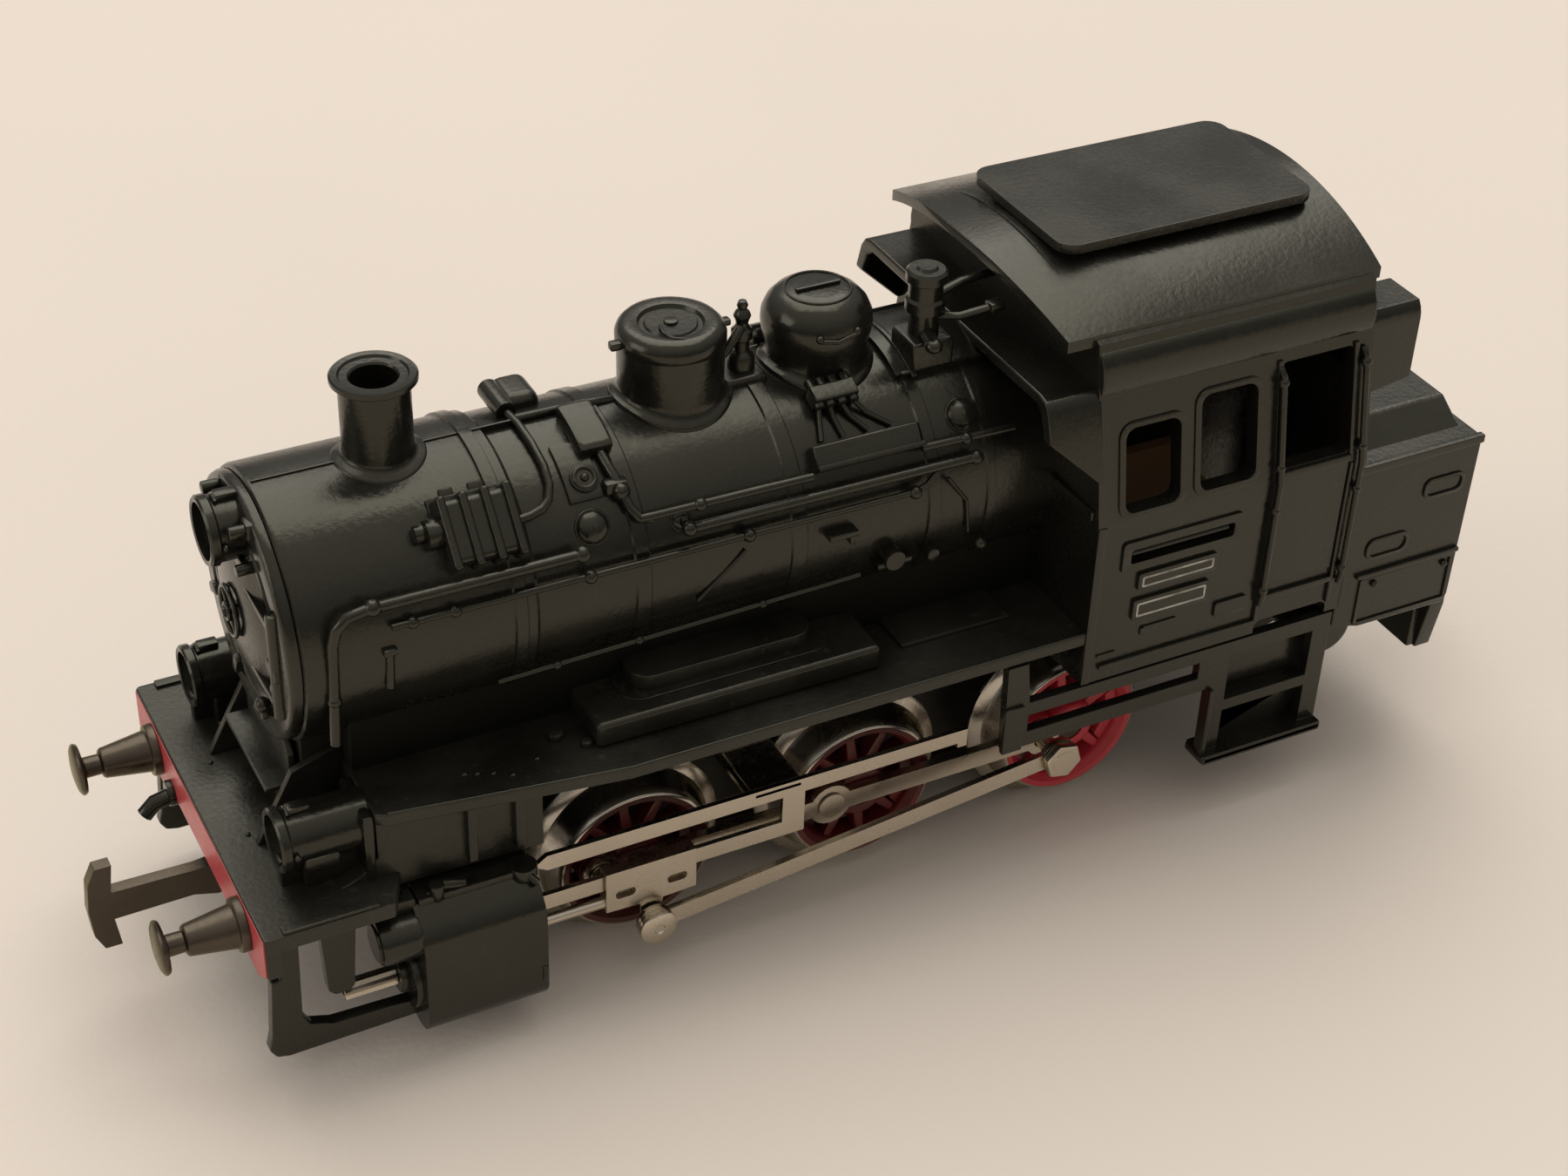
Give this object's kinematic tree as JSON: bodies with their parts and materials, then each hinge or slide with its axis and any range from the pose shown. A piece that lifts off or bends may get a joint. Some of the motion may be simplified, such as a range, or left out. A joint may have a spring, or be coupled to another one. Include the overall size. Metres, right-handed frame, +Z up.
{
  "type": "model railway tank locomotive",
  "caption": "Side-rod tank locomotive for a model railway: one moulded body over a die-cast frame with motor, gears, coupled wheels, connecting rods and hooks.",
  "frame": {"origin": "on the ground under the middle of the locomotive, where the wheel flanges stand", "axes": "+X towards the chimney end, +Y to the locomotive's left side, +Z up"},
  "size_m": [0.1144, 0.0318, 0.0477],
  "materials": {
    "body": "injection-moulded satin black, softly worn on the edges, front beam face painted red",
    "cast": "blackened zinc die casting",
    "steel": "dark burnished steel",
    "nickel": "warm dull nickel plate",
    "wheel": "zinc casting, crimson spokes and a nickel-plated tyre",
    "brass": "machined brass",
    "copper": "enamelled copper winding",
    "board": "brown laminated insulating board",
    "carbon": "brush carbon",
    "lens": "clear moulded lens"
  },
  "bodies": {
    "loco": {"body_shell": "body", "smokebox_front": "body", "cylinder_block": "body", "step_frame_left": "body", "step_frame_right": "body", "lamp_lens_left": "lens", "lamp_lens_right": "lens", "lamp_lens_top": "lens", "lamp_bulb": "lens", "bulb_socket": "brass", "body_screw": "steel", "buffer_front_left": "steel", "buffer_front_right": "steel", "chassis_frame": "cast", "guide_plate_left": "nickel", "guide_plate_right": "nickel", "piston_tube_left": "nickel", "piston_tube_right": "nickel", "field_core": "steel", "field_coil": "copper", "brush_plate": "board", "brush_front": "carbon", "brush_rear": "carbon", "relay_frame": "steel", "relay_coil": "copper", "pickup_plate": "board", "pickup_screw": "brass"},
    "rear_wheelset": {"axle_rear": "steel", "wheel_rear_left": "wheel", "wheel_rear_right": "wheel", "drive_gear": "brass", "crank_screw_left": "nickel", "crank_screw_right": "nickel"},
    "middle_wheelset": {"axle_middle": "steel", "wheel_middle_left": "wheel", "wheel_middle_right": "wheel"},
    "front_wheelset": {"axle_front": "steel", "wheel_front_left": "wheel", "wheel_front_right": "wheel"},
    "coupling_left": {"coupling_rod_left": "nickel"},
    "coupling_right": {"coupling_rod_right": "nickel"},
    "connecting_left": {"connecting_rod_left": "nickel", "wrist_screw_left": "nickel"},
    "connecting_right": {"connecting_rod_right": "nickel", "wrist_screw_right": "nickel"},
    "slider_left": {"crosshead_left": "nickel"},
    "slider_right": {"crosshead_right": "nickel"},
    "idler": {"idler_gear": "brass"},
    "rotor": {"armature_core": "steel", "armature_winding": "copper", "commutator": "copper", "armature_pinion": "brass"},
    "relay": {"relay_lever": "steel"},
    "pickup": {"pickup_shoe": "steel", "pickup_spring": "brass"},
    "front_hook": {"hook_front": "steel"},
    "rear_hook": {"hook_rear": "steel"}
  },
  "joints": [
    {"name": "rear_axle_spin", "type": "hinge", "parent": "loco", "child": "rear_wheelset", "pos_m": [-0.0159, 0, 0.0076], "axis": [0, 1, 0], "continuous": true},
    {"name": "middle_axle_spin", "type": "hinge", "parent": "loco", "child": "middle_wheelset", "pos_m": [0.0023, 0, 0.0076], "axis": [0, 1, 0], "continuous": true},
    {"name": "front_axle_spin", "type": "hinge", "parent": "loco", "child": "front_wheelset", "pos_m": [0.0205, 0, 0.0076], "axis": [0, 1, 0], "continuous": true},
    {"name": "idler_spin", "type": "hinge", "parent": "loco", "child": "idler", "pos_m": [-0.01755, -0.0055, 0.01543], "axis": [0, 1, 0], "continuous": true},
    {"name": "armature_spin", "type": "hinge", "parent": "loco", "child": "rotor", "pos_m": [-0.022, 0, 0.0203], "axis": [0, 1, 0], "continuous": true},
    {"name": "coupling_rod_pivot_left", "type": "hinge", "parent": "middle_wheelset", "child": "coupling_left", "pos_m": [0.00535, 0.01065, 0.00814], "axis": [0, 1, 0], "continuous": true},
    {"name": "coupling_rod_pivot_right", "type": "hinge", "parent": "middle_wheelset", "child": "coupling_right", "pos_m": [0.00176, -0.01065, 0.01065], "axis": [0, 1, 0], "continuous": true},
    {"name": "connecting_rod_pivot_left", "type": "hinge", "parent": "rear_wheelset", "child": "connecting_left", "pos_m": [-0.01285, 0.01305, 0.00814], "axis": [0, 1, 0], "continuous": true},
    {"name": "connecting_rod_pivot_right", "type": "hinge", "parent": "rear_wheelset", "child": "connecting_right", "pos_m": [-0.01644, -0.01305, 0.01065], "axis": [0, 1, 0], "continuous": true},
    {"name": "crosshead_slide_left", "type": "slide", "parent": "loco", "child": "slider_left", "axis": [1, 0, 0], "range_m": [-0.00611, 0.00012]},
    {"name": "crosshead_slide_right", "type": "slide", "parent": "loco", "child": "slider_right", "axis": [1, 0, 0], "range_m": [-0.00214, 0.00409]},
    {"name": "relay_lever_tilt", "type": "hinge", "parent": "loco", "child": "relay", "pos_m": [-0.01825, 0, 0.0319], "axis": [0, -1, 0], "range_deg": [0, 8], "stiffness_Nm_per_rad": 0.0002, "springref_deg": -5.73},
    {"name": "pickup_lift", "type": "slide", "parent": "loco", "child": "pickup", "axis": [0, 0, 1], "range_m": [0, 0.0012], "stiffness_N_per_m": 40, "springref_m": -0.0005},
    {"name": "front_hook_swing", "type": "hinge", "parent": "loco", "child": "front_hook", "pos_m": [0.0459, 0, 0.0089], "axis": [0, 0, 1], "range_deg": [-8, 8]},
    {"name": "rear_hook_swing", "type": "hinge", "parent": "loco", "child": "rear_hook", "pos_m": [-0.0459, 0, 0.0089], "axis": [0, 0, 1], "range_deg": [-8, 8]}
  ],
  "couplings": [
    {"joint": "middle_axle_spin", "follows": "rear_axle_spin", "ratio": 1},
    {"joint": "front_axle_spin", "follows": "rear_axle_spin", "ratio": 1},
    {"joint": "idler_spin", "follows": "rear_axle_spin", "ratio": -2.3333},
    {"joint": "armature_spin", "follows": "rear_axle_spin", "ratio": 6.2222},
    {"joint": "coupling_rod_pivot_left", "follows": "rear_axle_spin", "ratio": -1},
    {"joint": "coupling_rod_pivot_right", "follows": "rear_axle_spin", "ratio": -1},
    {"joint": "connecting_rod_pivot_left", "follows": "rear_axle_spin", "ratio": -1},
    {"joint": "connecting_rod_pivot_right", "follows": "rear_axle_spin", "ratio": -1}
  ]
}
